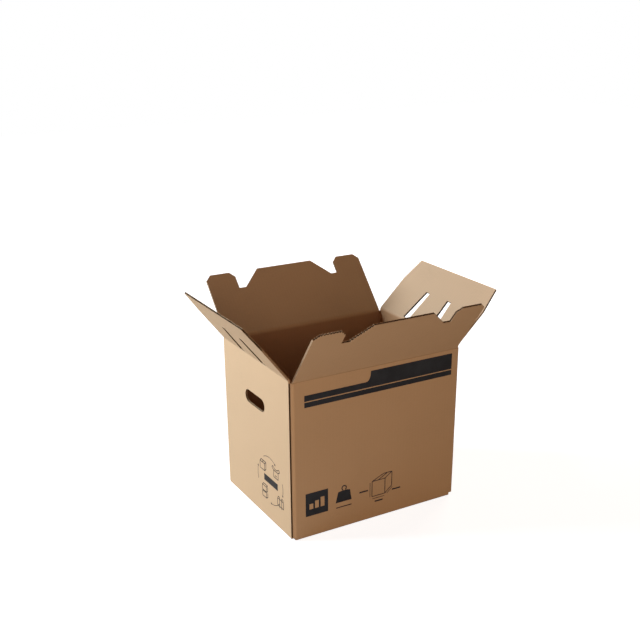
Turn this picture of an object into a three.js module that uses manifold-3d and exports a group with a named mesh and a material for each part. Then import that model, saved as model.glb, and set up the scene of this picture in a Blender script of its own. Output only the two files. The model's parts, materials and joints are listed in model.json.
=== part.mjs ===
// A moving box of single-wall corrugated board, standing open with its four top flaps splayed.
// Millimetres, +Z up. The origin is the middle of the base, the printed front faces -Y and the
// end wall with the glued joint faces -X. The base, the walls and the closed bottom flaps are one
// folded and glued sheet. Each top flap turns about its own crease.

import * as THREE from "three";
import { mergeVertices } from "three/addons/utils/BufferGeometryUtils.js";
import Module from "manifold-3d";

// Board and box
const boardThickness = 4;
const boxLength = 400;
const boxWidth = 300;
const longCreaseHeight = 346.5;
const wallFoldRadius = 3.6;
const bottomFoldRadius = 2.5;

// Top creases
const creaseGap = 0.3;
const creaseOffset = 1;
const creaseChamfer = 2;
const levelGap = 0.4;
const longFlapSideGap = 3;
const endFlapSideGap = 0.5;

// Long flaps, front and back, with a hook at each end and a notch beside it. Closed, their
// outer edges stop this far short of the middle of the box.
const closedFlapGap = 1;
const longFlapCornerCut = 11.5;
const hookWidth = 69;
const hookCornerCut = 11;
const hookLean = 0.5;
const notchDepth = 40;
const notchFloorWidth = 15.5;
const notchSlant = 40.5;

// End flaps, left and right, with tapered sides and two wedge-shaped slots for the hooks. The
// slots' places are measured from the line of the notch floors when the box is closed.
const endFlapLength = 142.8;
const endFlapStraightLength = 88;
const endFlapTaper = 11.5;
const slotStart = 3;
const slotClearance = 1;
const slotStartShift = 5.8;
const slotStartWidth = 18.8;
const slotEndShift = -2.1;
const slotEndWidth = 13;

// Opening angles in the photographed pose, in degrees above level and outwards
const frontFlapAngle = 53.5;
const backFlapAngle = 47.5;
const leftFlapAngle = 52.4;
const rightFlapAngle = 44;

// Hand holes in both end walls, a little nearer the back than the front
const handHoleWidth = 88;
const handHoleHeight = 28;
const handHoleCentreHeight = 255.5;
const handHoleShift = 3;

// Glue tab, folded from the front wall and glued inside the left wall
const tabWidth = 35;
const tabTaper = 10;
const tabTopSetback = 3;
const tabBottomSetback = 4;

// Bottom flaps: the ends fold in first, then the back, then the front with its tuck-in tongue
const bottomEndFlapLength = 150;
const bottomSlotInset = 9;
const bottomFlapSideGap = 0.6;
const bottomSeamPlace = 40;
const bottomSeamWidth = 2;
const tongueSideGap = 5;
const tongueReach = 55;
const tongueRoot = 12;
const tongueCornerRadius = 12;

// Print on the front wall: two long bands below the crease and a square near the base. The upper
// band is thick on the right and steps down to a thin run on the left.
const inkThickness = 0.15;
const bandLeftMargin = 32;
const bandRightMargin = 18;
const bandTopMargin = 11;
const upperBandHeight = 34.5;
const thinBandHeight = 12.5;
const bandStepWidth = 12;
const thinBandLength = 139;
const bandGap = 2.2;
const lowerBandHeight = 10.8;
const squareSize = 52;
const squareBottom = 48;
const markWidth = 9;
const markPitch = 13;
const markHeights = [12, 17, 22];
const markBottom = 15;

// Print on the left wall: a plain plate
const plateLength = 61;
const plateHeight = 15;
const plateSetback = 59;
const plateBottom = 89;

// Places worked out from the sizes
const left = -boxLength / 2;
const right = boxLength / 2;
const front = -boxWidth / 2;
const back = boxWidth / 2;
const innerLeft = left + boardThickness;
const innerRight = right - boardThickness;
const innerFront = front + boardThickness;
const innerBack = back - boardThickness;
const beadRadius = boardThickness / 2;
const axisInset = boardThickness / 2 - creaseOffset;
const endCreaseHeight = longCreaseHeight + boardThickness + levelGap;
const longWallTop = longCreaseHeight - beadRadius - creaseGap;
const endWallTop = endCreaseHeight - beadRadius - creaseGap;
const wallStart = boardThickness + bottomFoldRadius;
const innerFloor = 2 * boardThickness;
const tongueHalfWidth = boxLength / 2 - bottomEndFlapLength - tongueSideGap;
const longCreaseDistance = boxWidth / 2 - axisInset;
const endCreaseDistance = boxLength / 2 - axisInset;
const longFlapHalfWidth = boxLength / 2 - boardThickness - longFlapSideGap;
const longFlapLength = longCreaseDistance - closedFlapGap;
const endFlapHalfWidth = longCreaseDistance - beadRadius - endFlapSideGap;
const notchLine = closedFlapGap + notchDepth;
const hookEnd = endCreaseDistance - longFlapHalfWidth + hookWidth;
const slotEnd = hookEnd + slotClearance;
const slotStartMiddle = notchLine + slotStartShift;
const slotEndMiddle = notchLine + slotEndShift;

const arcSteps = 5;
const beadSides = 24;
const overrun = 1;

const wasm = await Module();
wasm.setup();

// A closed three.js geometry as a solid that can be joined and cut
function solidOf(geometry) {
  const bare = geometry.clone();
  bare.deleteAttribute("normal");
  bare.deleteAttribute("uv");
  const merged = mergeVertices(bare, 1e-4);
  const mesh = new wasm.Mesh({
    numProp: 3,
    vertProperties: merged.attributes.position.array,
    triVerts: new Uint32Array(merged.index.array),
  });
  return new wasm.Manifold(mesh);
}

function geometryOf(solid) {
  const mesh = solid.getMesh();
  const geometry = new THREE.BufferGeometry();
  geometry.setAttribute("position", new THREE.BufferAttribute(mesh.vertProperties, 3));
  geometry.setIndex(new THREE.BufferAttribute(mesh.triVerts, 1));
  const faceted = geometry.toNonIndexed();
  faceted.computeVertexNormals();
  return faceted;
}

function joined(solids) {
  return solids.reduce((whole, piece) => whole.add(piece));
}

// Prisms: an outline drawn in one plane and carried along the third axis
function prism(shape, depth, xAxis, yAxis, zAxis, start) {
  const geometry = new THREE.ExtrudeGeometry(shape, {
    depth,
    bevelEnabled: false,
    curveSegments: arcSteps,
  });
  const place = new THREE.Matrix4().makeBasis(xAxis, yAxis, zAxis).setPosition(start);
  return solidOf(geometry.applyMatrix4(place));
}

const alongX = new THREE.Vector3(1, 0, 0);
const alongY = new THREE.Vector3(0, 1, 0);
const alongZ = new THREE.Vector3(0, 0, 1);
const againstY = new THREE.Vector3(0, -1, 0);

// The outline is drawn in X and Y and rises from bottom to top
function prismUp(shape, bottom, top) {
  return prism(shape, top - bottom, alongX, alongY, alongZ, new THREE.Vector3(0, 0, bottom));
}

// The outline is drawn in Y and Z and runs from one X to another
function prismAcross(shape, from, to) {
  return prism(shape, to - from, alongY, alongZ, alongX, new THREE.Vector3(from, 0, 0));
}

// The outline is drawn in X and Z and runs from one Y to another
function prismDeep(shape, from, to) {
  return prism(shape, to - from, alongX, alongZ, againstY, new THREE.Vector3(0, to, 0));
}

function outline(points) {
  return new THREE.Shape(points.map(([x, y]) => new THREE.Vector2(x, y)));
}

function rectangle(x0, y0, x1, y1) {
  return outline([
    [x0, y0],
    [x1, y0],
    [x1, y1],
    [x0, y1],
  ]);
}

// Walls: one closed ring in plan, with a rounded fold at three corners. At the front left corner
// the front wall folds in behind the left wall, whose cut edge stays proud of the fold.
function wallRing() {
  const r = wallFoldRadius;
  const ring = new THREE.Shape();
  ring.moveTo(left, front + r);
  ring.lineTo(left, back - r);
  ring.absarc(left + r, back - r, r, Math.PI, Math.PI / 2, true);
  ring.lineTo(right - r, back);
  ring.absarc(right - r, back - r, r, Math.PI / 2, 0, true);
  ring.lineTo(right, front + r);
  ring.absarc(right - r, front + r, r, 0, -Math.PI / 2, true);
  ring.lineTo(innerLeft + r, front);
  ring.absarc(innerLeft + r, front + r, r, -Math.PI / 2, -Math.PI, true);
  ring.closePath();
  ring.holes.push(rectangle(innerLeft, innerFront, innerRight, innerBack));
  return prismUp(ring, wallStart, endWallTop);
}

// The long walls are lower than the end walls by a board, so that the end flaps close on top
function longWallRelief(y0, y1) {
  const above = rectangle(left - overrun, y0, right + overrun, y1);
  return prismUp(above, longWallTop, endWallTop + overrun);
}

// The outer edge of a wall's top is cut back, so that the flap can drop below level
function chamferProfile(face, outwards, top) {
  const c = creaseChamfer;
  return outline([
    [face + outwards * overrun, top - c - overrun],
    [face + outwards * overrun, top + overrun],
    [face - outwards * (c + overrun), top + overrun],
  ]);
}

function topChamfers() {
  return joined([
    prismAcross(chamferProfile(front, -1, longWallTop), left - overrun, right + overrun),
    prismAcross(chamferProfile(back, 1, longWallTop), left - overrun, right + overrun),
    prismDeep(chamferProfile(left, -1, endWallTop), front - overrun, back + overrun),
    prismDeep(chamferProfile(right, 1, endWallTop), front - overrun, back + overrun),
  ]);
}

function glueTab() {
  const bottom = innerFloor + tabBottomSetback;
  const top = longWallTop - tabTopSetback;
  const end = innerFront + tabWidth;
  const tab = outline([
    [innerFront - overrun, bottom],
    [end, bottom + tabTaper],
    [end, top - tabTaper],
    [innerFront - overrun, top],
  ]);
  return prismAcross(tab, innerLeft, innerLeft + boardThickness);
}

// A long bottom flap and the fold that joins it to its wall, drawn for the front in Y and Z
function longBottomProfile(reach) {
  const r = bottomFoldRadius;
  const profile = new THREE.Shape();
  profile.moveTo(front, wallStart + overrun);
  profile.lineTo(front, r);
  profile.absarc(front + r, r, r, Math.PI, 1.5 * Math.PI, false);
  profile.lineTo(reach, 0);
  profile.lineTo(reach, boardThickness);
  profile.lineTo(innerFront, boardThickness);
  profile.lineTo(innerFront, wallStart + overrun);
  profile.closePath();
  return profile;
}

function longBottomFlap(reach) {
  return prismAcross(longBottomProfile(reach), left + bottomSlotInset, right - bottomSlotInset);
}

// An end bottom flap, drawn for the left end in X and Z. It lies on the long ones.
function endBottomFlap() {
  const r = bottomFoldRadius;
  const profile = new THREE.Shape();
  profile.moveTo(left, innerFloor);
  profile.lineTo(left, boardThickness + r);
  profile.absarc(left + r, boardThickness + r, r, Math.PI, 1.5 * Math.PI, false);
  profile.lineTo(left + bottomEndFlapLength, boardThickness);
  profile.lineTo(left + bottomEndFlapLength, innerFloor);
  profile.closePath();
  return prismDeep(profile, innerFront + bottomFlapSideGap, innerBack - bottomFlapSideGap);
}

function turnedHalfway(solid) {
  return solid.rotate([0, 0, 180]);
}

// The front flap's tongue is tucked in over the back flap, between the end flaps
function bottomTongue() {
  const r = tongueCornerRadius;
  const root = bottomSeamPlace - tongueRoot;
  const tip = bottomSeamPlace + tongueReach;
  const w = tongueHalfWidth;
  const tongue = new THREE.Shape();
  tongue.moveTo(-w, root);
  tongue.lineTo(w, root);
  tongue.lineTo(w, tip - r);
  tongue.absarc(w - r, tip - r, r, 0, Math.PI / 2, false);
  tongue.lineTo(r - w, tip);
  tongue.absarc(r - w, tip - r, r, Math.PI / 2, Math.PI, false);
  tongue.closePath();
  return prismUp(tongue, boardThickness, innerFloor);
}

function bottom() {
  const halfSeam = bottomSeamWidth / 2;
  return joined([
    longBottomFlap(bottomSeamPlace - halfSeam),
    turnedHalfway(longBottomFlap(-bottomSeamPlace - halfSeam)),
    endBottomFlap(),
    turnedHalfway(endBottomFlap()),
    bottomTongue(),
  ]);
}

// One cutter runs through both end walls
function handHoles() {
  const r = handHoleHeight / 2;
  const straight = handHoleWidth / 2 - r;
  const near = handHoleShift - straight;
  const far = handHoleShift + straight;
  const z = handHoleCentreHeight;
  const hole = new THREE.Shape();
  hole.moveTo(near, z - r);
  hole.lineTo(far, z - r);
  hole.absarc(far, z, r, -Math.PI / 2, Math.PI / 2, false);
  hole.lineTo(near, z + r);
  hole.absarc(near, z, r, Math.PI / 2, 1.5 * Math.PI, false);
  hole.closePath();
  return prismAcross(hole, left - overrun, right + overrun);
}

function cartonBody() {
  const sheet = joined([wallRing(), glueTab(), bottom()]);
  const cuts = joined([
    longWallRelief(front - overrun, innerFront),
    longWallRelief(innerBack, back + overrun),
    topChamfers(),
    handHoles(),
  ]);
  return sheet.subtract(cuts);
}

// Flaps are drawn flat: X along the crease, Y from the crease outwards, Z through the board.
// The root is a round bead on the crease line, so that the flap clears its wall at every angle.
function flapSolid(shape, halfWidth) {
  const leaf = prismUp(shape, -boardThickness / 2, boardThickness / 2);
  const bead = new THREE.CylinderGeometry(beadRadius, beadRadius, 2 * halfWidth, beadSides);
  bead.rotateZ(Math.PI / 2);
  return leaf.add(solidOf(bead));
}

// Half of a long flap's outline, from the crease at its side to the middle of its outer edge
function longFlapHalf() {
  const side = longFlapHalfWidth;
  const edge = longFlapLength;
  const neck = side - hookWidth;
  const floor = edge - notchDepth;
  return [
    [side, 0],
    [side, edge - longFlapCornerCut],
    [side - longFlapCornerCut, edge],
    [neck + hookLean + hookCornerCut, edge],
    [neck + hookLean, edge - hookCornerCut],
    [neck, floor],
    [neck - notchFloorWidth, floor],
    [neck - notchFloorWidth - notchSlant, edge],
  ];
}

function mirrored(half) {
  const other = half.map(([x, y]) => [-x, y]).reverse();
  return outline([...half, ...other]);
}

function longFlap() {
  return flapSolid(mirrored(longFlapHalf()), longFlapHalfWidth);
}

// The cutter for one slot, on the side of the flap that the sign gives
function wedgeSlot(side) {
  const slot = outline([
    [side * (slotStartMiddle - slotStartWidth / 2), slotStart],
    [side * (slotStartMiddle + slotStartWidth / 2), slotStart],
    [side * (slotEndMiddle + slotEndWidth / 2), slotEnd],
    [side * (slotEndMiddle - slotEndWidth / 2), slotEnd],
  ]);
  return prismUp(slot, -boardThickness, boardThickness);
}

function endFlap() {
  const half = [
    [endFlapHalfWidth, 0],
    [endFlapHalfWidth, endFlapStraightLength],
    [endFlapHalfWidth - endFlapTaper, endFlapLength],
  ];
  return flapSolid(mirrored(half), endFlapHalfWidth).subtract(wedgeSlot(1)).subtract(wedgeSlot(-1));
}

// Fields of ink lie on the outer faces of the front wall and the left wall
function frontInk(shape) {
  return prismDeep(shape, front - inkThickness, front);
}

function leftInk(shape) {
  return prismAcross(shape, left - inkThickness, left);
}

function upperBand() {
  const start = left + bandLeftMargin;
  const end = right - bandRightMargin;
  const top = longCreaseHeight - bandTopMargin;
  const bottomEdge = top - upperBandHeight;
  const thinTop = bottomEdge + thinBandHeight;
  const step = start + thinBandLength;
  const band = new THREE.Shape();
  band.moveTo(start, bottomEdge);
  band.lineTo(end, bottomEdge);
  band.lineTo(end, top);
  band.lineTo(step + bandStepWidth, top);
  band.quadraticCurveTo(step + bandStepWidth, thinTop, step, thinTop);
  band.lineTo(start, thinTop);
  band.closePath();
  return frontInk(band);
}

function lowerBand() {
  const top = longCreaseHeight - bandTopMargin - upperBandHeight - bandGap;
  return frontInk(rectangle(left + bandLeftMargin, top - lowerBandHeight, right - bandRightMargin, top));
}

// The square has plain bars of rising height left open in it
function sizeSquare() {
  const start = left + bandLeftMargin;
  const middle = start + squareSize / 2;
  const square = frontInk(rectangle(start, squareBottom, start + squareSize, squareBottom + squareSize));
  const bars = markHeights.map((height, i) => {
    const x = middle + (i - (markHeights.length - 1) / 2) * markPitch;
    const z = squareBottom + markBottom;
    const bar = rectangle(x - markWidth / 2, z, x + markWidth / 2, z + height);
    return prismDeep(bar, front - overrun, front + overrun);
  });
  return square.subtract(joined(bars));
}

function sidePlate() {
  const start = front + plateSetback;
  return leftInk(rectangle(start, plateBottom, start + plateLength, plateBottom + plateHeight));
}

const kraftOutside = { color: 0xb8926a, roughness: 0.86, metalness: 0 };
const blackInk = { color: 0x26282a, roughness: 0.75, metalness: 0 };

const box = new THREE.Group();

function addPiece(name, solid, parent, finish) {
  const mesh = new THREE.Mesh(geometryOf(solid), new THREE.MeshStandardMaterial(finish));
  mesh.name = name;
  parent.add(mesh);
}

// A crease stands on a wall, faces outwards by a turn about Z, and tilts its flap up from level
function addFlap(name, solid, distance, height, facing, angle) {
  const crease = new THREE.Group();
  crease.rotation.z = THREE.MathUtils.degToRad(facing);
  const hinge = new THREE.Group();
  hinge.position.set(0, distance, height);
  hinge.rotation.x = THREE.MathUtils.degToRad(angle);
  crease.add(hinge);
  box.add(crease);
  addPiece(name, solid, hinge, kraftOutside);
}

addPiece("carton_body", cartonBody(), box, kraftOutside);
addPiece("upper_band", upperBand(), box, blackInk);
addPiece("lower_band", lowerBand(), box, blackInk);
addPiece("size_square", sizeSquare(), box, blackInk);
addPiece("side_plate", sidePlate(), box, blackInk);
addFlap("back_flap", longFlap(), longCreaseDistance, longCreaseHeight, 0, backFlapAngle);
addFlap("front_flap", longFlap(), longCreaseDistance, longCreaseHeight, 180, frontFlapAngle);
addFlap("left_flap", endFlap(), endCreaseDistance, endCreaseHeight, 90, leftFlapAngle);
addFlap("right_flap", endFlap(), endCreaseDistance, endCreaseHeight, -90, rightFlapAngle);

export default box;
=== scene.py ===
import json
import math

import bmesh
import bpy
from mathutils import Matrix, Vector


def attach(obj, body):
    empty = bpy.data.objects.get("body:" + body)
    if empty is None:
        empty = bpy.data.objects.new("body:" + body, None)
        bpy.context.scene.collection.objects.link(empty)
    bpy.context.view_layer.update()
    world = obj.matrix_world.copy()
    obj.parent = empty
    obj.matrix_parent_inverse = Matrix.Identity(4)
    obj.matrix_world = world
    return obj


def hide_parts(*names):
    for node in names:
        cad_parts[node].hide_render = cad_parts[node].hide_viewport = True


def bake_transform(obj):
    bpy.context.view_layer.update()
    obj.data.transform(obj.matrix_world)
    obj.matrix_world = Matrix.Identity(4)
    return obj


# Looks for an open moving box: kraft liners over a real fluted medium on the flaps, soft folds
# at the creases, open flutes at the cut edges, and flat black print. Metres, the CAD's own frame.

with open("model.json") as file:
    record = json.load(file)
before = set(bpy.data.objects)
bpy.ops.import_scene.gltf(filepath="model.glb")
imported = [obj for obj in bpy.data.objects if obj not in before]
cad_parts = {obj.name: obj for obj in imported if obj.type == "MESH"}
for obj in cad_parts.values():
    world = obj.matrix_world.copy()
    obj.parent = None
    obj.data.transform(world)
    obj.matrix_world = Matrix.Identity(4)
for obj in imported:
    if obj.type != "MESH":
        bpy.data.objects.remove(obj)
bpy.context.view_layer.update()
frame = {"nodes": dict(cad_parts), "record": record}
nodes = frame["nodes"]
creases = {joint["child"]: joint for joint in frame["record"]["behaviour"]["joints"]}
mm = 0.001
print("frame loaded:", len(nodes), "nodes")

# The board and the box in millimetres, as the CAD has them. The flutes stand upright in the walls
board = dict(thickness=4, liner=0.45, medium=0.3, pitch=7.4, air=0.02)
box = dict(halfLength=200, halfWidth=150, longFlapHalf=193, endFlapHalf=146.5, foldRadius=3.6)
halfBoard = board["thickness"] / 2
weld = 2e-6  # metres: corners closer than this are one
near = 0.05  # millimetres: a face this close to a plane counts as lying in it


# Meshes


def toBmesh(piece):
    bm = bmesh.new()
    bm.from_mesh(piece.data)
    return bm


def tidied(bm):
    bmesh.ops.remove_doubles(bm, verts=bm.verts, dist=weld)
    bmesh.ops.recalc_face_normals(bm, faces=bm.faces)
    return bm


def pieceOf(name, bm, materials, sharp=30):
    mesh = bpy.data.meshes.new(name)
    bm.to_mesh(mesh)
    bm.free()
    for material in materials:
        mesh.materials.append(material)
    mesh.shade_smooth()
    mesh.set_sharp_from_angle(angle=math.radians(sharp))
    piece = bpy.data.objects.new(name, mesh)
    bpy.context.scene.collection.objects.link(piece)
    return piece


def passing(bm):
    # an object for a boolean, taken away again afterwards
    mesh = bpy.data.meshes.new("passing")
    bm.to_mesh(mesh)
    bm.free()
    piece = bpy.data.objects.new("passing", mesh)
    bpy.context.scene.collection.objects.link(piece)
    return piece


def boolean(bm, cutter, operation):
    # bm and cutter are used up, and the result is a new bmesh
    whole = passing(bm)
    tool = passing(cutter)
    modifier = whole.modifiers.new("cut", "BOOLEAN")
    modifier.operation = operation
    modifier.solver = "EXACT"
    modifier.object = tool
    result = bmesh.new()
    result.from_object(whole, bpy.context.evaluated_depsgraph_get())
    for piece in (whole, tool):
        mesh = piece.data
        bpy.data.objects.remove(piece)
        bpy.data.meshes.remove(mesh)
    return result


def added(bm, other):
    mesh = bpy.data.meshes.new("passing")
    other.to_mesh(mesh)
    other.free()
    bm.from_mesh(mesh)
    bpy.data.meshes.remove(mesh)
    return bm


def painted(bm, index):
    for face in bm.faces:
        face.material_index = index
    return bm


def moved(bm, matrix):
    bmesh.ops.transform(bm, matrix=matrix, verts=bm.verts)
    return bm


def prism(outline, low, high):
    # an outline in the plane of its first two axes, from low to high along the third
    bm = bmesh.new()
    verts = [bm.verts.new((x, y, low)) for x, y in outline]
    face = bm.faces.new(verts)
    sides = bmesh.ops.extrude_face_region(bm, geom=[face])
    top = [part for part in sides["geom"] if isinstance(part, bmesh.types.BMVert)]
    bmesh.ops.translate(bm, verts=top, vec=(0, 0, high - low))
    bmesh.ops.recalc_face_normals(bm, faces=bm.faces)
    return bm


def block(low, high):
    bm = bmesh.new()
    bmesh.ops.create_cube(bm, size=1)
    size = [b - a for a, b in zip(low, high)]
    middle = [(a + b) / 2 for a, b in zip(low, high)]
    bmesh.ops.scale(bm, vec=size, verts=bm.verts)
    bmesh.ops.translate(bm, vec=middle, verts=bm.verts)
    return bm


# Materials


class Shading:
    # a few nodes put together with short calls
    def __init__(self, name):
        self.material = bpy.data.materials.new(name)
        self.material.use_nodes = True
        self.tree = self.material.node_tree
        self.tree.nodes.clear()
        self.shader = self.node("ShaderNodeBsdfPrincipled")
        output = self.node("ShaderNodeOutputMaterial")
        self.tree.links.new(self.shader.outputs[0], output.inputs[0])
        self.place = self.node("ShaderNodeTexCoord").outputs["Object"]

    def node(self, kind):
        return self.tree.nodes.new(kind)

    def put(self, socket, value):
        if isinstance(value, bpy.types.NodeSocket):
            self.tree.links.new(value, socket)
        else:
            socket.default_value = value

    def math(self, operation, *values):
        node = self.node("ShaderNodeMath")
        node.operation = operation
        for socket, value in zip(node.inputs, values):
            self.put(socket, value)
        return node.outputs[0]

    def stretched(self, scale):
        node = self.node("ShaderNodeMapping")
        self.put(node.inputs["Vector"], self.place)
        node.inputs["Scale"].default_value = scale
        return node.outputs[0]

    def noise(self, scale, size, detail=3, roughness=0.55):
        node = self.node("ShaderNodeTexNoise")
        self.put(node.inputs["Vector"], self.stretched(scale))
        node.inputs["Scale"].default_value = size
        node.inputs["Detail"].default_value = detail
        node.inputs["Roughness"].default_value = roughness
        return node.outputs["Fac"]

    def ramp(self, value, low, high, start=0.0, end=1.0):
        node = self.node("ShaderNodeMapRange")
        node.interpolation_type = "SMOOTHSTEP"
        self.put(node.inputs["Value"], value)
        node.inputs["From Min"].default_value = low
        node.inputs["From Max"].default_value = high
        node.inputs["To Min"].default_value = start
        node.inputs["To Max"].default_value = end
        return node.outputs[0]

    def mix(self, amount, a, b, blend="MIX"):
        node = self.node("ShaderNodeMix")
        node.data_type = "RGBA"
        node.blend_type = blend
        self.put(node.inputs["Factor"], amount)
        self.put(node.inputs["A"], a)
        self.put(node.inputs["B"], b)
        return node.outputs["Result"]

    def axis(self, name):
        node = self.node("ShaderNodeSeparateXYZ")
        self.put(node.inputs[0], self.place)
        return node.outputs[name]

    def bump(self, height, distance, strength=1.0, under=None):
        node = self.node("ShaderNodeBump")
        node.inputs["Distance"].default_value = distance
        node.inputs["Strength"].default_value = strength
        self.put(node.inputs["Height"], height)
        if under is not None:
            self.put(node.inputs["Normal"], under)
        return node.outputs[0]


def linear(red, green, blue):
    # screen colours, 0 to 255, as the shader wants them
    parts = []
    for value in (red, green, blue):
        share = value / 255
        parts.append(share / 12.92 if share <= 0.04045 else ((share + 0.055) / 1.055) ** 2.4)
    return (*parts, 1.0)


def times(colour, amount):
    return (colour[0] * amount, colour[1] * amount, colour[2] * amount, 1.0)


# painted light: the print is one ink in two tints. The front print, in the warm shade, is painted
# cooler than the side print, which the cool window light reaches
liners = dict(
    outside=linear(199, 167, 127),
    inside=linear(200, 166, 128),
    # painted light: the end flaps' and end walls' inside liner is a lighter copy of the inside liner
    insideEndLit=linear(206, 174, 136),
    # deep and the next: painted shade for the walls' insides below the crease
    deep=linear(172, 131, 98),
    insideEndShade=linear(184, 141, 99),
)
inkColours = dict(front=linear(47, 52, 57), side=linear(54, 49, 44))


def fibres(shading, across):
    # long fibres lie mostly along the sheet's making direction, which is across the flutes
    along = (70, 900, 900) if across == "X" else (900, 70, 900)
    return shading.noise(along, 1.0, 4, 0.62)


def fluteLines(shading, across):
    turns = shading.math("MULTIPLY", shading.axis(across), 2 * math.pi / (board["pitch"] * mm))
    return shading.math("ADD", shading.math("MULTIPLY", shading.math("COSINE", turns), 0.5), 0.5)


kraftLook = dict(
    fibre=(0.965, 1.035),  # darkest and lightest fibres, as shares of the colour
    cloud=1.02,
    fleck=0.55,
    fleckShare=0.35,
    fluteLine=0.6,
    foot=0.5,  # painted shade: the lowest few millimetres are darker
    shadeFootHeight=0.006,
    shadeFootShare=0.28,
    roughness=(0.78, 0.92),
    specular=0.25,
    waveDepth=0.05,
    fibreDepth=0.06,
)


def kraft(name, colour, across, flutes=0.03, deep=None):
    # across: the axis that the flutes follow one another along
    look = kraftLook
    shading = Shading(name)
    fine = fibres(shading, across)
    lines = fluteLines(shading, across)
    clouds = shading.noise((1, 1, 1), 9, 3)
    flecks = shading.noise((900, 900, 500), 1.0, 2, 0.7)
    dark, light = look["fibre"]
    tone = shading.mix(shading.ramp(fine, 0.3, 0.7), times(colour, dark), times(colour, light))
    tone = shading.mix(shading.ramp(clouds, 0.35, 0.68), tone, times(colour, look["cloud"]))
    fleckShare = shading.ramp(flecks, 0.66, 0.78, 0, look["fleckShare"])
    tone = shading.mix(fleckShare, tone, times(colour, look["fleck"]))
    lineShare = shading.math("MULTIPLY", lines, flutes)
    tone = shading.mix(lineShare, tone, times(colour, look["fluteLine"]))
    if deep is not None:
        # painted shade: below the crease, inside the box, the liner is painted browner and darker
        down = shading.ramp(shading.axis("Z"), *deep["fade"], 1.0, 0.0)
        share = [d / c for d, c in zip(deep["colour"][:3], colour[:3])]
        tone = shading.mix(down, tone, shading.mix(1.0, tone, (*share, 1.0), "MULTIPLY"))
    # painted shade along the foot of every kraft face
    foot = shading.ramp(shading.axis("Z"), 0.0, look["shadeFootHeight"], look["shadeFootShare"], 0.0)
    tone = shading.mix(foot, tone, times(colour, look["foot"]))
    shading.put(shading.shader.inputs["Base Color"], tone)
    shading.put(shading.shader.inputs["Roughness"], shading.ramp(fine, 0.2, 0.8, *look["roughness"]))
    shading.shader.inputs["Specular IOR Level"].default_value = look["specular"]
    waves = shading.bump(lines, look["waveDepth"] * mm, 0.35)
    relief = shading.bump(fine, look["fibreDepth"] * mm, 0.4, waves)
    shading.put(shading.shader.inputs["Normal"], relief)
    return shading.material


rawLook = dict(tones=(0.8, 1.12), roughness=0.95, specular=0.15, fuzzDepth=0.08)


def rawPaper(name, amount):
    # cut liner edges and the fluted medium, and, with an amount below 1, painted shade for the dark
    # inside of the flutes
    shading = Shading(name)
    fuzz = shading.noise((1100, 1100, 1100), 1.0, 3)
    base = times(liners["inside"], amount)
    dark, light = rawLook["tones"]
    tone = shading.mix(shading.ramp(fuzz, 0.35, 0.65), times(base, dark), times(base, light))
    shading.put(shading.shader.inputs["Base Color"], tone)
    shading.shader.inputs["Roughness"].default_value = rawLook["roughness"]
    shading.shader.inputs["Specular IOR Level"].default_value = rawLook["specular"]
    shading.put(shading.shader.inputs["Normal"], shading.bump(fuzz, rawLook["fuzzDepth"] * mm, 0.6))
    return shading.material


inkLook = dict(
    tones=(0.86, 1.22),
    bare=0.55,
    bareShare=0.32,
    roughness=(0.62, 0.8),
    specular=0.2,
    depth=0.03,
)


def printInk(name, colour):
    # matt ink in thin and thick clouds, with a few bare fibres showing through
    look = inkLook
    shading = Shading(name)
    fine = shading.noise((700, 700, 260), 1.0, 4, 0.6)
    clouds = shading.noise((1, 1, 1), 26, 3)
    thin, thick = look["tones"]
    tone = shading.mix(shading.ramp(clouds, 0.3, 0.7), times(colour, thin), times(colour, thick))
    bare = shading.ramp(fine, 0.66, 0.8, 0.0, look["bareShare"])
    tone = shading.mix(bare, tone, times(liners["outside"], look["bare"]))
    shading.put(shading.shader.inputs["Base Color"], tone)
    shading.put(shading.shader.inputs["Roughness"], shading.ramp(fine, 0.3, 0.7, *look["roughness"]))
    shading.shader.inputs["Specular IOR Level"].default_value = look["specular"]
    shading.put(shading.shader.inputs["Normal"], shading.bump(fine, look["depth"] * mm, 0.4))
    return shading.material


outsideLong = kraft("outside_kraft_long", liners["outside"], "X")
outsideEnd = kraft("outside_kraft_end", liners["outside"], "Y")
# the inside materials fade to painted shade below the crease
insideLong = kraft("inside_kraft_long", liners["inside"], "X", 0.05,
                   dict(colour=liners["deep"], fade=(0.338, 0.348)))
insideEndLit = kraft("inside_kraft_end_lit", liners["insideEndLit"], "Y", 0.05,
                  dict(colour=liners["insideEndShade"], fade=(0.345, 0.354)))
# painted highlight: the front wall's rounded fold beside the left cut edge is lighter, where it catches
# the light
litFoldPaint = kraft("fold_painted_highlight", times(liners["outside"], 1.15), "X", 0.0)
# painted shade: a darker band along the middle of each crease's score
scoreShade = kraft("score_painted_shade", times(liners["outside"], 0.8), "X", 0.0)
linerEdge = rawPaper("liner_edge", 1.0)
mediumPaper = rawPaper("medium_paper", 1.0)
# painted shade: dark paper for the flutes' insides, the slots' walls, the hand holes' walls and the
# open flutes of the left wall's cut edge
edgeShadePaint = rawPaper("edge_painted_shade", 0.22)
# painted shade: the medium seen in the hand holes' grooves is darker paper
holeFlutesShade = rawPaper("hole_flutes_painted_shade", 0.4)
# painted shade: the closed sides are darker paper, as a flute wall in shade between the liners
closedSideShade = rawPaper("closed_side_painted_shade", 0.6)

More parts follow.
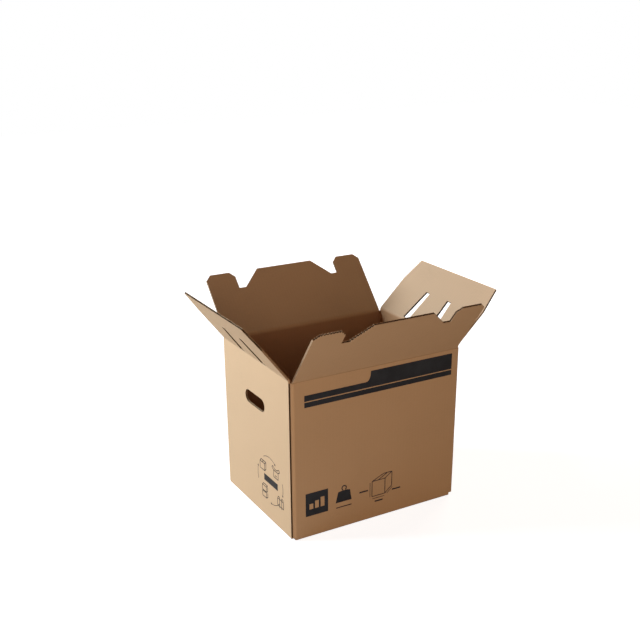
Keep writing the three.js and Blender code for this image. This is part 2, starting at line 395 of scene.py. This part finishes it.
# places in a flap's or a crease's list of materials, and in the carton's
flapSlot = dict(outside=0, inside=1, edge=2, medium=3, scoreShade=4, dark=5, closed=6)
wallSlot = dict(outsideLong=0, outsideEnd=1, insideLong=2, insideEndLit=3, edge=4, foldHighlight=5, dark=6)
longMaterials = [outsideLong, insideLong, linerEdge, mediumPaper, scoreShade, edgeShadePaint, closedSideShade]
endMaterials = [outsideEnd, insideEndLit, linerEdge, mediumPaper, scoreShade, edgeShadePaint, closedSideShade]
wallMaterials = [outsideLong, outsideEnd, insideLong, insideEndLit, linerEdge, litFoldPaint, edgeShadePaint]
frontInk = printInk("flat_ink", inkColours["front"])
sideInk = printInk("side_ink", inkColours["side"])
print("materials ready")


# Flaps. A flap's own axes: u along the crease, v from the crease to the outer edge, w inwards


def creaseFrame(lid, outward):
    # the crease's line, and the flap's angle above level in the pose of the frame
    joint = creases[lid]
    pivot = Vector(joint["pos_m"])
    angle = math.radians(180 + joint["range_deg"][0])
    out = Vector(outward)
    up = Vector((0, 0, 1))
    vAxis = out * math.cos(angle) + up * math.sin(angle)
    wAxis = up * math.cos(angle) - out * math.sin(angle)
    uAxis = vAxis.cross(wAxis)
    flat = Matrix((uAxis, vAxis, wAxis)).transposed().to_4x4()
    return dict(pivot=pivot, angle=angle, out=out, place=Matrix.Translation(pivot) @ flat)


# offset: from the hinge line to the board's middle. The score's width and the width of its painted
# shade are shares of the bend
crease = dict(offset=1, radius=10, steps=12, scoreDepth=0.8, scoreWidth=0.14, scoreShadeWidth=0.13)


def bend(frameOfFlap):
    # the arc between the wall's middle plane and the flap's, in millimetres
    turn = math.pi / 2 - frameOfFlap["angle"]
    reach = crease["radius"] * math.tan(turn / 2)
    back = crease["offset"] / math.cos(frameOfFlap["angle"])
    rise = crease["offset"] * math.tan(frameOfFlap["angle"])
    height = frameOfFlap["pivot"].z / mm - rise
    return dict(turn=turn, wallEnd=height - reach, flapStart=reach - back)


def creaseStrip(name, lid, frameOfFlap, halfWidth, wallMiddle, materials):
    # the board's section turned about a line outside the box, with a pressed score along it
    arc = bend(frameOfFlap)
    out = frameOfFlap["out"]
    along = frameOfFlap["place"].to_3x3() @ Vector((1, 0, 0))
    bm = bmesh.new()
    bmesh.ops.create_grid(bm, x_segments=1, y_segments=1, size=1)
    bmesh.ops.scale(bm, vec=(halfWidth, halfBoard, 1), verts=bm.verts)
    centre = out * (wallMiddle + crease["radius"]) + Vector((0, 0, arc["wallEnd"]))
    start = out * wallMiddle + Vector((0, 0, arc["wallEnd"]))
    flat = Matrix((along, out, along.cross(out))).transposed().to_4x4()
    moved(bm, Matrix.Translation(start) @ flat)
    axis = out.cross(Vector((0, 0, 1)))
    bmesh.ops.spin(bm, geom=bm.verts[:] + bm.edges[:] + bm.faces[:], cent=centre, axis=axis,
                   dvec=(0, 0, 0), angle=-arc["turn"], steps=crease["steps"], use_duplicate=False)
    for vert in bm.verts:
        arm = vert.co - centre
        radial = arm - along * arm.dot(along)
        share = math.atan2(radial.z, -radial.dot(out)) / arc["turn"]  # 0 at the wall, 1 at the flap
        if radial.length < crease["radius"]:
            press = crease["scoreDepth"] * math.exp(-((share - 0.5) / crease["scoreWidth"]) ** 2)
            vert.co += radial.normalized() * press
    bmesh.ops.scale(bm, vec=(mm, mm, mm), verts=bm.verts)
    tidied(bm)
    for face in bm.faces:
        radial = face.calc_center_median() - centre * mm
        radial -= along * radial.dot(along)
        side = face.normal.dot(radial)
        face.material_index = flapSlot["edge"]
        if abs(face.normal.dot(along)) < 0.5:
            face.material_index = flapSlot["outside"] if side < 0 else flapSlot["inside"]
            share = math.atan2(radial.z, -radial.dot(out)) / arc["turn"]
            # painted shade along the middle of the score, on the outer side
            if side < 0 and abs(share - 0.5) < crease["scoreShadeWidth"]:
                face.material_index = flapSlot["scoreShade"]
    strip = pieceOf(name, bm, materials, 40)
    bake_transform(strip)
    return arc


# slant: a cut that goes further than this both ways crosses the flutes at a slant
# coarseFrom: how far from the flap's middle the coarse teeth begin
teeth = dict(
    fine=dict(pitch=3.7, depth=0.7),
    coarse=dict(pitch=6.4, depth=3.2),
    slant=5,
    coarseFrom=60,
)


def serrated(outline, torn):
    # a die knife leaves small teeth where it crosses the flutes at a slant, and on the left half
    # of the front flap a blunt knife left coarse ones on the hook's top and the notch
    topEdge = longFlap["length"] - 1
    points = []
    for (x0, y0), (x1, y1) in zip(outline, outline[1:] + outline[:1]):
        points.append((x0, y0))
        across = math.hypot(x1 - x0, y1 - y0)
        slanted = min(abs(x1 - x0), abs(y1 - y0)) > teeth["slant"]
        coarse = torn and min(x0, x1) > teeth["coarseFrom"] and (slanted or min(y0, y1) > topEdge)
        tooth = teeth["coarse"] if coarse else teeth["fine"]
        count = 2 * round(across / tooth["pitch"]) if slanted or coarse else 0
        for i in range(1, count):
            t = i / count
            side = tooth["depth"] * (i % 2) / across
            x = x0 + (x1 - x0) * t - (y1 - y0) * side
            y = y0 + (y1 - y0) * t + (x1 - x0) * side
            points.append((x, y))
    return points


def shrunk(outline, amount):
    # the same outline drawn in by a small amount, held back at very sharp corners
    sharpest = 0.4
    inner = []
    count = len(outline)
    for i in range(count):
        before = Vector(outline[i - 1])
        here = Vector(outline[i])
        after = Vector(outline[(i + 1) % count])
        first = (here - before).normalized()
        second = (after - here).normalized()
        normal = Vector((-first.y - second.y, first.x + second.x))
        cosine = max(sharpest, (normal.length / 2) ** 2)
        inner.append(tuple(here + normal.normalized() * amount / math.sqrt(cosine)))
    return inner


def widened(hole, amount):
    # a hole's outline drawn out, whichever way round it runs
    clockwise = hole[0][0] > hole[1][0]
    return shrunk(hole, amount if clockwise else -amount)


def mirrored(half):
    return half + [(-x, y) for x, y in reversed(half)]


longFlap = dict(
    length=148,
    cornerCut=11.5,
    hook=69,
    hookCut=11,
    lean=0.5,
    notch=40,
    floor=15.5,
    slant=40.5,
)
endFlap = dict(length=142.8, straight=88, taper=11.5, slotStart=3, slotEnd=76)
slots = dict(startMiddle=46.8, startWidth=18.8, endMiddle=38.9, endWidth=13)
slotZone = dict(halfWidth=60, end=endFlap["slotEnd"] + 2)  # both slots lie inside it


def longOutline(start):
    f = longFlap
    side = box["longFlapHalf"]
    neck = side - f["hook"]
    floor = f["length"] - f["notch"]
    return mirrored([
        (side, start),
        (side, f["length"] - f["cornerCut"]),
        (side - f["cornerCut"], f["length"]),
        (neck + f["lean"] + f["hookCut"], f["length"]),
        (neck + f["lean"], f["length"] - f["hookCut"]),
        (neck, floor),
        (neck - f["floor"], floor),
        (neck - f["floor"] - f["slant"], f["length"]),
    ])


def endOutline(start):
    side = box["endFlapHalf"]
    return mirrored([
        (side, start),
        (side, endFlap["straight"]),
        (side - endFlap["taper"], endFlap["length"]),
    ])


def slotOutline(side):
    s = slots
    return [
        (side * (s["startMiddle"] - s["startWidth"] / 2), endFlap["slotStart"]),
        (side * (s["startMiddle"] + s["startWidth"] / 2), endFlap["slotStart"]),
        (side * (s["endMiddle"] + s["endWidth"] / 2), endFlap["slotEnd"]),
        (side * (s["endMiddle"] - s["endWidth"] / 2), endFlap["slotEnd"]),
    ]


layers = dict(
    crushed=0.6,  # width of a flap's closed side
    clear=0.8,  # the share of each liner's depth that the closed side leaves free
    linerBack=0.6,  # how far the liners stand back from a slot's line
    mediumBack=1.0,  # and the medium
    phase=0.4,
    spare=4,  # how far the sheet of medium goes past the flap before it is cut
    over=5,  # how far the cutter goes past the flap's ends
    samples=10,  # points on one wave
)


def sheetOf(outline, low, high, holes):
    bm = prism(outline, low, high)
    for hole in holes:
        bm = boolean(bm, prism(hole, low - 1, high + 1), "DIFFERENCE")
    return bm


def waved(width, low, high, liner, phase=0.0):
    # a flat grid moved to a wave between the liners, then given its paper's thickness
    swing = halfBoard - liner - board["medium"] / 2 - board["air"]
    columns = round(width / board["pitch"] * layers["samples"])
    bm = bmesh.new()
    bmesh.ops.create_grid(bm, x_segments=columns, y_segments=1, size=1)
    for vert in bm.verts:
        u = vert.co.x * width / 2
        v = low if vert.co.y < 0 else high
        vert.co = (u, v, swing * math.sin(2 * math.pi * u / board["pitch"] + phase))
    bmesh.ops.solidify(bm, geom=bm.faces[:], thickness=board["medium"])
    bmesh.ops.recalc_face_normals(bm, faces=bm.faces)
    return bm


def mediumSheet(halfWidth, start, end):
    # longer and wider than the flap, which is cut out of it
    spare = layers["spare"]
    bm = waved(2 * (halfWidth + spare), start - spare, end + spare, board["liner"], layers["phase"])
    middle = sum(vert.co.z for vert in bm.verts) / len(bm.verts)
    bmesh.ops.translate(bm, vec=(0, 0, -middle), verts=bm.verts)
    return bm


def flapPiece(name, node, lid, frameOfFlap, outline, start, end, halfWidth, holes, materials):
    # outer liner, inner liner and the fluted medium between them
    skin = board["liner"]
    cut = serrated(outline, node == "front_flap")
    flap = bmesh.new()
    linerHoles = [widened(hole, layers["linerBack"]) for hole in holes]
    for low, high, slot in (
        (-halfBoard, skin - halfBoard, "outside"),
        (halfBoard - skin, halfBoard, "inside"),
    ):
        liner = painted(sheetOf(cut, low, high, linerHoles), flapSlot[slot])
        for face in liner.faces:
            centre = face.calc_center_median()
            # painted shade: the liners' faces towards the medium, and the slots' walls, take the dark
            # paper
            if abs(centre.z) < halfBoard - skin + near and abs(face.normal.z) > 0.5:
                face.material_index = flapSlot["dark"]
            elif abs(face.normal.z) < 0.5:
                inZone = abs(centre.x) < slotZone["halfWidth"] and centre.y < slotZone["end"]
                face.material_index = flapSlot["dark" if holes and inZone else "edge"]
        added(flap, liner)
    # the knife crushes the sides that run along the flutes, which closes them
    closed = halfWidth - layers["crushed"]
    straight = endFlap["straight"] if holes else end - longFlap["cornerCut"]
    reach = halfBoard - skin * layers["clear"]
    for side in (-1, 1):
        low, high = sorted((side * closed, side * (halfWidth - board["air"])))
        strip = block((low, start, -reach), (high, straight, reach))
        # the closed side takes the paper with painted shade
        added(flap, painted(strip, flapSlot["closed"]))
    mediumHoles = [widened(hole, layers["mediumBack"]) for hole in holes]
    keep = sheetOf(cut, -halfBoard, halfBoard, mediumHoles)
    over = layers["over"]
    between = block((-closed, start - over, -halfBoard - 1), (closed, end + over, halfBoard + 1))
    keep = boolean(keep, between, "INTERSECT")
    medium = boolean(mediumSheet(halfWidth, start, end), keep, "INTERSECT")
    painted(medium, flapSlot["dark"])
    for face in medium.faces:
        # the cut edge of the medium is pale, and its sides inside the flutes get painted shade
        face.normal_update()
        if abs(face.normal.y) > 0.3:
            face.material_index = flapSlot["medium"]
    added(flap, medium)
    bmesh.ops.scale(flap, vec=(mm, mm, mm), verts=flap.verts)
    moved(flap, frameOfFlap["place"])
    piece = pieceOf(name, flap, materials, 40)
    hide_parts(node)
    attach(piece, lid)


wallEnds = {}
for lid, node, outward, isLong in (
    ("front_lid", "front_flap", (0, -1, 0), True),
    ("back_lid", "back_flap", (0, 1, 0), True),
    ("left_lid", "left_flap", (-1, 0, 0), False),
    ("right_lid", "right_flap", (1, 0, 0), False),
):
    placed = creaseFrame(lid, outward)
    halfWidth = box["longFlapHalf"] if isLong else box["endFlapHalf"]
    wallMiddle = (box["halfWidth"] if isLong else box["halfLength"]) - halfBoard
    materials = longMaterials if isLong else endMaterials
    arc = creaseStrip(node.replace("flap", "crease"), lid, placed, halfWidth, wallMiddle, materials)
    wallEnds[lid] = arc["wallEnd"]
    start = arc["flapStart"]
    end = longFlap["length"] if isLong else endFlap["length"]
    outline = longOutline(start) if isLong else endOutline(start)
    holes = [] if isLong else [slotOutline(1), slotOutline(-1)]
    flapPiece(node + "_board", node, lid, placed, outline, start, end, halfWidth, holes, materials)
    print("flap ready:", node)


# The carton: the CAD's walls, ended where the creases begin, with open cut edges


def stadium(halfLength, radius, steps=10):
    points = []
    for side, turn in ((1, -math.pi / 2), (-1, math.pi / 2)):
        for i in range(steps + 1):
            a = turn + math.pi * i / steps
            points.append((side * halfLength + radius * math.cos(a), radius * math.sin(a)))
    return points


handHole = dict(
    halfLength=30,
    radius=14,
    height=255.5,
    shift=3,
    groove=2.6,
    mediumFrom=0.4,  # the medium begins this far outside the rim
    mediumPast=0.2,  # and ends this far past the groove
)
cutEdge = dict(liner=0.45, depth=4.5, before=0.5, low=7, high=343.7)
openFold = dict(width=7.5, steps=8, low=6.5, high=360, ahead=2)
wallTops = dict(above=30, beside=1, hair=0.001)
acrossX = Matrix(((0, 0, 1, 0), (1, 0, 0, 0), (0, 1, 0, 0), (0, 0, 0, 1)))


def cartonCutters():
    front = -box["halfWidth"]
    left = -box["halfLength"]
    # above the ends of the walls, where the creases take over
    wide = box["longFlapHalf"]
    deep = box["halfWidth"] - board["thickness"] - wallTops["hair"]
    inner = box["halfLength"] - board["thickness"] - wallTops["hair"]
    outX = box["halfLength"] + wallTops["beside"]
    outY = box["halfWidth"] + wallTops["beside"]
    for lid, low, high in (
        ("front_lid", (-wide, -outY), (wide, -deep)),
        ("back_lid", (-wide, deep), (wide, outY)),
        ("left_lid", (-outX, -deep), (-inner, deep)),
        ("right_lid", (inner, -deep), (outX, deep)),
    ):
        yield block((*low, wallEnds[lid]), (*high, wallEnds[lid] + wallTops["above"]))
    # the open flutes of the left wall's upright cut edge
    face = front + box["foldRadius"]
    skin = cutEdge["liner"]
    yield block((left + skin, face - cutEdge["before"], cutEdge["low"]),
                (left + board["thickness"] - skin, face + cutEdge["depth"], cutEdge["high"]))
    # the front wall's fold beside the cut edge is wider than it is deep
    centre = left + board["thickness"] + openFold["width"]
    outline = []
    for i in range(openFold["steps"] + 1):
        a = math.pi * (1 + i / openFold["steps"] / 2)
        x = centre + openFold["width"] * math.cos(a)
        outline.append((x, face + box["foldRadius"] * math.sin(a)))
    ahead = front - openFold["ahead"]
    outline += [(centre, ahead), (centre - openFold["width"] - 1, ahead)]
    yield prism(outline, openFold["low"], openFold["high"])
    # a groove between the liners round each hand hole
    ring = stadium(handHole["halfLength"], handHole["radius"] + handHole["groove"])
    halfGroove = halfBoard - skin
    for side in (-1, 1):
        middle = side * (box["halfLength"] - halfBoard)
        groove = moved(prism(ring, -halfGroove, halfGroove), acrossX)
        place = (middle, handHole["shift"], handHole["height"])
        bmesh.ops.translate(groove, vec=place, verts=groove.verts)
        yield groove


# where one look ends and the next begins on the carton, in millimetres from its middle and its
# foot. foldUpright and the values called facing are parts of a face's normal
zones = dict(
    foldBack=-146.4,
    foldUpright=0.3,
    foldFacing=-0.995,
    grooveX=(-199.7, -196.3),
    grooveY=(-146.3, -141),
    grooveTop=343.8,
    endFacing=0.7,
    holeHalfLength=48,
    holeHalfHeight=17.5,
    holeInWall=(196.5, 199.6),
    bottomInside=3.9,
    bottomFlapTop=7.9,
    bottomHalfLength=190,
    bottomHalfWidth=140,
    topEdge=340,
    topFacing=0.6,
)


def inRange(value, limits):
    return limits[0] < value < limits[1]


def wallMaterial(face):
    z = zones
    centre = face.calc_center_median() / mm
    normal = face.normal
    across = abs(centre.x)
    along = abs(centre.y)
    foldEnd = board["thickness"] + openFold["width"] - box["halfLength"]
    onFold = centre.x < foldEnd and centre.y < z["foldBack"]
    # painted highlight on the fold beside the left wall's cut edge
    if onFold and abs(normal.z) < z["foldUpright"] and normal.y > z["foldFacing"]:
        return wallSlot["foldHighlight"]
    # painted shade in the open flutes of the left wall's cut edge
    inGroove = inRange(centre.x, z["grooveX"]) and inRange(centre.y, z["grooveY"])
    if inGroove and centre.z < z["grooveTop"]:
        return wallSlot["dark"]
    inner = box["halfLength"] - board["thickness"] + near
    innerY = box["halfWidth"] - board["thickness"] + near
    isEnd = abs(normal.x) > z["endFacing"]
    inHeight = abs(centre.z - handHole["height"]) < z["holeHalfHeight"]
    inLength = abs(centre.y - handHole["shift"]) < z["holeHalfLength"]
    # painted shade on the walls of the hand holes
    if inHeight and inLength and across > inner and (not isEnd or inRange(across, z["holeInWall"])):
        return wallSlot["dark"]
    if across < inner and along < innerY and centre.z > z["bottomInside"]:
        onBottom = across < z["bottomHalfLength"] and along < z["bottomHalfWidth"]
        if onBottom and centre.z < z["bottomFlapTop"] and abs(normal.z) < 0.5:
            return wallSlot["edge"]
        return wallSlot["insideEndLit" if isEnd else "insideLong"]
    if centre.z > z["topEdge"] and normal.z > z["topFacing"]:
        return wallSlot["edge"]
    return wallSlot["outsideEnd" if isEnd else "outsideLong"]


def cartonPiece():
    bm = toBmesh(nodes["carton_body"])
    tidied(bm)
    bmesh.ops.scale(bm, vec=(1 / mm, 1 / mm, 1 / mm), verts=bm.verts)
    for cutter in cartonCutters():
        bm = boolean(bm, cutter, "DIFFERENCE")
    bmesh.ops.scale(bm, vec=(mm, mm, mm), verts=bm.verts)
    tidied(bm)
    for face in bm.faces:
        face.material_index = wallMaterial(face)
    piece = pieceOf("carton_board", bm, wallMaterials, 25)
    # the wide flat faces keep their own normals beside the narrow ones of the folds
    weighted = piece.modifiers.new("weighted", "WEIGHTED_NORMAL")
    weighted.keep_sharp = True
    weighted.weight = 100
    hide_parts("carton_body")
    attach(piece, "carton")


def holeMedium(side):
    # the wavy medium seen in the groove round a hand hole, upright flutes cut across
    outer = handHole["radius"] + handHole["groove"] + handHole["mediumPast"]
    bm = waved(2 * (handHole["halfLength"] + outer), -outer, outer, cutEdge["liner"])
    grooved = prism(stadium(handHole["halfLength"], outer), -halfBoard, halfBoard)
    bm = boolean(bm, grooved, "INTERSECT")
    rim = stadium(handHole["halfLength"], handHole["radius"] + handHole["mediumFrom"])
    bm = boolean(bm, prism(rim, -halfBoard - 1, halfBoard + 1), "DIFFERENCE")
    moved(bm, acrossX)
    middle = side * (box["halfLength"] - halfBoard)
    bmesh.ops.translate(bm, vec=(middle, handHole["shift"], handHole["height"]), verts=bm.verts)
    bmesh.ops.scale(bm, vec=(mm, mm, mm), verts=bm.verts)
    name = "hand_hole_flutes_left" if side < 0 else "hand_hole_flutes_right"
    piece = pieceOf(name, bm, [holeFlutesShade], 40)
    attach(piece, "carton")


cartonPiece()
holeMedium(-1)
holeMedium(1)
print("carton ready")


# Print. The CAD's fields keep their shape, and the small signs are thin plates beside them


for name in ("upper_band", "lower_band", "size_square", "side_plate"):
    field = nodes[name].data
    field.materials.clear()
    field.materials.append(sideInk if name == "side_plate" else frontInk)

# the ink's depth and the strokes' widths in millimetres, and a barb as a share of its arrow head
signs = dict(depth=0.12, line=1.7, thin=1.2, wide=2.6, underline=2.2, label=3.2, arrow=4.6, barb=0.6)


def bar(x0, z0, x1, z1, width=signs["line"]):
    # a straight stroke as a four-cornered outline
    length = math.hypot(x1 - x0, z1 - z0)
    sx = -(z1 - z0) / length * width / 2
    sz = (x1 - x0) / length * width / 2
    return [(x0 - sx, z0 - sz), (x1 - sx, z1 - sz), (x1 + sx, z1 + sz), (x0 + sx, z0 + sz)]


def strokes(points, width=signs["line"]):
    return [bar(*a, *b, width) for a, b in zip(points, points[1:])]


def arcPoints(x, z, radius, first, last, count=10):
    turns = [math.radians(first + (last - first) * i / count) for i in range(count + 1)]
    return [(x + radius * math.cos(a), z + radius * math.sin(a)) for a in turns]


def arrowHead(x, z, heading, size):
    a = math.radians(heading)
    forward = (math.cos(a), math.sin(a))
    barb = signs["barb"]
    return [
        (x + forward[0] * size, z + forward[1] * size),
        (x - forward[1] * size * barb, z + forward[0] * size * barb),
        (x + forward[1] * size * barb, z - forward[0] * size * barb),
    ]


def signPiece(name, outlines, facing):
    # outlines as seen on the wall: along, then up. Crossing strokes are joined into one plate
    bm = bmesh.new()
    for outline in outlines:
        plate = prism(outline, 0, signs["depth"])
        bm = boolean(bm, plate, "UNION") if len(bm.verts) else plate
    if facing == "front":
        place = Matrix(((1, 0, 0, 0), (0, 0, -1, -box["halfWidth"]), (0, 1, 0, 0), (0, 0, 0, 1)))
    else:
        place = Matrix(((0, 0, -1, -box["halfLength"]), (-1, 0, 0, 0), (0, 1, 0, 0), (0, 0, 0, 1)))
    moved(bm, place)
    bmesh.ops.scale(bm, vec=(mm, mm, mm), verts=bm.verts)
    tidied(bm)
    piece = pieceOf(name, bm, [frontInk if facing == "front" else sideInk])
    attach(piece, "carton")


def weightSign():
    # a weight with its ring, and a line under it
    ring = arcPoints(-78, 91, 5.2, -60, 240, 14)
    body = [(-98, 60), (-60, 60), (-64, 84), (-72, 85.5), (-84, 85.5), (-92, 84)]
    under = bar(-97, 48.5, -60, 48.5, signs["underline"])
    signPiece("weight_sign", [body, under] + strokes(ring, signs["wide"]), "front")


def boxSign():
    # a closed box drawn in outline, with a measuring line beside each of its sides
    front = [(-10, 51.5), (22, 51.5), (22, 87), (-10, 87), (-10, 51.5)]
    side = [(22, 51.5), (39, 66), (39, 99), (22, 87)]
    top = [(-10, 87), (18, 99), (39, 99)]
    seam = strokes([(5, 87), (28, 99)])
    lines = [(-15, 51.5, -15, 85), (-9, 46, 21, 46), (27, 50, 41, 63)]
    measures = [bar(*line, signs["thin"]) for line in lines]
    plainBars = [(-41, 69, -20, 69), (-3, 38.5, 17, 38.5), (40, 55.5, 61, 55.5)]
    labels = [bar(*line, signs["label"]) for line in plainBars]
    outlines = strokes(front) + strokes(side) + strokes(top) + seam + measures + labels
    signPiece("box_sign", outlines, "front")


# Small drawings for the side wall: a flat blank, an open box, a closed one and a stack


def frameLines(x0, z0, x1, z1):
    return strokes([(x0, z0), (x1, z0), (x1, z1), (x0, z1), (x0, z0)])


def flatBlank(x, z):
    parts = frameLines(x - 14, z - 9, x + 12, z + 7)
    for middle in (x - 5, x + 4):
        parts += strokes([(middle, z - 13), (middle, z + 12)])
    parts += strokes([(x - 12, z + 7), (x - 11, z + 12), (x - 5, z + 12)])
    return parts + strokes([(x + 4, z + 12), (x + 10, z + 12), (x + 11, z + 7)])


def openBox(x, z):
    parts = frameLines(x - 10, z - 11, x + 10, z + 4)
    parts += strokes([(x - 10, z + 4), (x - 17, z + 9), (x - 13, z + 13), (x - 5, z + 8)])
    parts += strokes([(x + 10, z + 4), (x + 17, z + 9), (x + 13, z + 13), (x + 5, z + 8)])
    return parts + strokes([(x - 5, z + 8), (x + 5, z + 8)]) + strokes([(x - 4, z - 6), (x + 4, z - 6)])


def closedBox(x, z):
    parts = frameLines(x - 12, z - 10, x + 9, z + 6)
    parts += strokes([(x - 12, z + 6), (x - 6, z + 12), (x + 15, z + 12), (x + 9, z + 6)])
    parts += strokes([(x + 9, z - 10), (x + 15, z - 4), (x + 15, z + 12)])
    return parts + strokes([(x - 2, z + 6), (x + 4, z + 12)])


def stackedBoxes(x, z):
    parts = []
    for low in (-14, 0):
        parts += frameLines(x - 10, z + low, x + 8, z + low + 12)
        parts += strokes([(x + 8, z + low), (x + 14, z + low + 4), (x + 14, z + low + 14)])
    return parts + strokes([(x - 10, z + 12), (x - 4, z + 17), (x + 14, z + 17), (x + 8, z + 12)])


def turnArrow(x, z, radius, first, last):
    points = arcPoints(x, z, radius, first, last, 12)
    (x0, z0), (x1, z1) = points[-2:]
    heading = math.degrees(math.atan2(z1 - z0, x1 - x0))
    return strokes(points, signs["thin"]) + [arrowHead(x1, z1, heading, signs["arrow"])]


weightSign()
boxSign()
# along the left wall, x runs from the back towards the front, so y = -x
drawings = dict(
    flat=flatBlank(103, 66),
    open=openBox(84, 126),
    closed=closedBox(24, 120),
    stack=stackedBoxes(30, 62),
)
arrows = dict(
    top=turnArrow(56, 100, 50, 122, 62),
    front=turnArrow(56, 100, 58, 14, -12),
    foot=turnArrow(60, 96, 50, -42, -88),
    back=turnArrow(58, 96, 57, 196, 166),
)
for name, outlines in drawings.items():
    signPiece("side_sign_" + name, outlines, "left")
for name, outlines in arrows.items():
    signPiece("side_arrow_" + name, outlines, "left")
print("print ready")


# Floor, lights and camera


studio = dict(
    floorHalf=6,
    floorDrop=0.0004,
    floorColour=(0.5, 0.5, 0.5, 1),
    floorRoughness=0.9,
    floorGlow=0.87,  # near the box. It rises to 1 between the two distances
    glowFrom=0.5,
    glowTo=1.6,
    underBox=(0.19, 0.14),
    fill=0.06,
    fillColour=(1.0, 0.72, 0.56, 1),
    aim=(0, 0, 0.22),
)


def stageFloor():
    # white to the camera, and an ordinary pale floor to everything else
    bm = bmesh.new()
    bmesh.ops.create_grid(bm, x_segments=1, y_segments=1, size=studio["floorHalf"])
    bmesh.ops.translate(bm, vec=(0, 0, -studio["floorDrop"]), verts=bm.verts)
    shading = Shading("pale_floor")
    shading.shader.inputs["Base Color"].default_value = studio["floorColour"]
    shading.shader.inputs["Roughness"].default_value = studio["floorRoughness"]
    seen = shading.node("ShaderNodeLightPath").outputs["Is Camera Ray"]
    glow = shading.node("ShaderNodeEmission")
    reach = shading.node("ShaderNodeVectorMath")
    reach.operation = "LENGTH"
    shading.put(reach.inputs[0], shading.place)
    distance = reach.outputs["Value"]
    level = shading.ramp(distance, studio["glowFrom"], studio["glowTo"], studio["floorGlow"], 1.0)
    # dark under the box, where a gap in the bottom flaps lets the floor be seen
    beside = []
    for name, half in zip("XY", studio["underBox"]):
        reached = shading.math("ABSOLUTE", shading.axis(name))
        beside.append(shading.math("GREATER_THAN", reached, half))
    level = shading.math("MULTIPLY", level, shading.math("MAXIMUM", *beside))
    shading.put(glow.inputs["Strength"], shading.math("MULTIPLY", seen, level))
    both = shading.node("ShaderNodeAddShader")
    shading.put(both.inputs[0], shading.shader.outputs[0])
    shading.put(both.inputs[1], glow.outputs[0])
    output = next(node for node in shading.tree.nodes if node.type == "OUTPUT_MATERIAL")
    shading.put(output.inputs[0], both.outputs[0])
    floor = pieceOf("pale_floor", bm, [shading.material])


def backdrop():
    # the world is white where the camera sees it, and softly grey as a light
    world = bpy.data.worlds.new("studio")
    bpy.context.scene.world = world
    world.use_nodes = True
    tree = world.node_tree
    tree.nodes.clear()
    output = tree.nodes.new("ShaderNodeOutputWorld")
    mixer = tree.nodes.new("ShaderNodeMixShader")
    seen = tree.nodes.new("ShaderNodeLightPath")
    fill = tree.nodes.new("ShaderNodeBackground")
    fill.inputs["Color"].default_value = studio["fillColour"]
    fill.inputs["Strength"].default_value = studio["fill"]
    white = tree.nodes.new("ShaderNodeBackground")
    white.inputs["Color"].default_value = (1, 1, 1, 1)
    tree.links.new(seen.outputs["Is Camera Ray"], mixer.inputs[0])
    tree.links.new(fill.outputs[0], mixer.inputs[1])
    tree.links.new(white.outputs[0], mixer.inputs[2])
    tree.links.new(mixer.outputs[0], output.inputs[0])


def softLight(name, lamp):
    data = bpy.data.lights.new(name, "AREA")
    data.shape = "RECTANGLE"
    data.size, data.size_y = lamp["size"]
    data.energy = lamp["watts"]
    data.color = lamp["colour"]
    piece = bpy.data.objects.new(name, data)
    piece.location = lamp["place"]
    aim = Vector(studio["aim"]) - Vector(lamp["place"])
    piece.rotation_euler = aim.to_track_quat("-Z", "Y").to_euler()
    bpy.context.scene.collection.objects.link(piece)


lamps = dict(
    key=dict(place=(-2.65, 1.6, 1.6), size=(1.3, 1.3), watts=168, colour=(0.73, 0.835, 1.0)),
    front=dict(place=(-1.3, -2.95, 0.8), size=(2.2, 1.6), watts=37, colour=(1.0, 0.715, 0.55)),
    top=dict(place=(0.0, 0.2, 3.2), size=(1.5, 1.5), watts=2, colour=(1.0, 0.69, 0.51)),
    rim=dict(place=(2.6, 1.7, 0.9), size=(1.5, 1.5), watts=40, colour=(1.0, 0.84, 0.7)),
)
stageFloor()
backdrop()
for name, lamp in lamps.items():
    softLight(name, lamp)

# the photo's camera: focal length and picture centre in pixels, angles in degrees, place in metres
photo = dict(width=640, sensor=36)
lens = dict(
    focal=979.77,
    across=336.1,
    down=400.1,
    pitch=22.9997,
    yaw=30.4837,
    place=(-0.99303, -1.67207, 1.03966),
)
camera = bpy.data.cameras.new("camera")
camera.sensor_width = photo["sensor"]
camera.lens = lens["focal"] / photo["width"] * photo["sensor"]
camera.shift_x = (photo["width"] / 2 - lens["across"]) / photo["width"]
camera.shift_y = (lens["down"] - photo["width"] / 2) / photo["width"]
cameraObject = bpy.data.objects.new("camera", camera)
cameraObject.location = lens["place"]
cameraObject.rotation_euler = (math.radians(90 - lens["pitch"]), 0, math.radians(-lens["yaw"]))
bpy.context.scene.collection.objects.link(cameraObject)
bpy.context.scene.camera = cameraObject
bpy.context.scene.view_settings.view_transform = "Standard"
print("lights and camera ready")

bpy.context.view_layer.update()
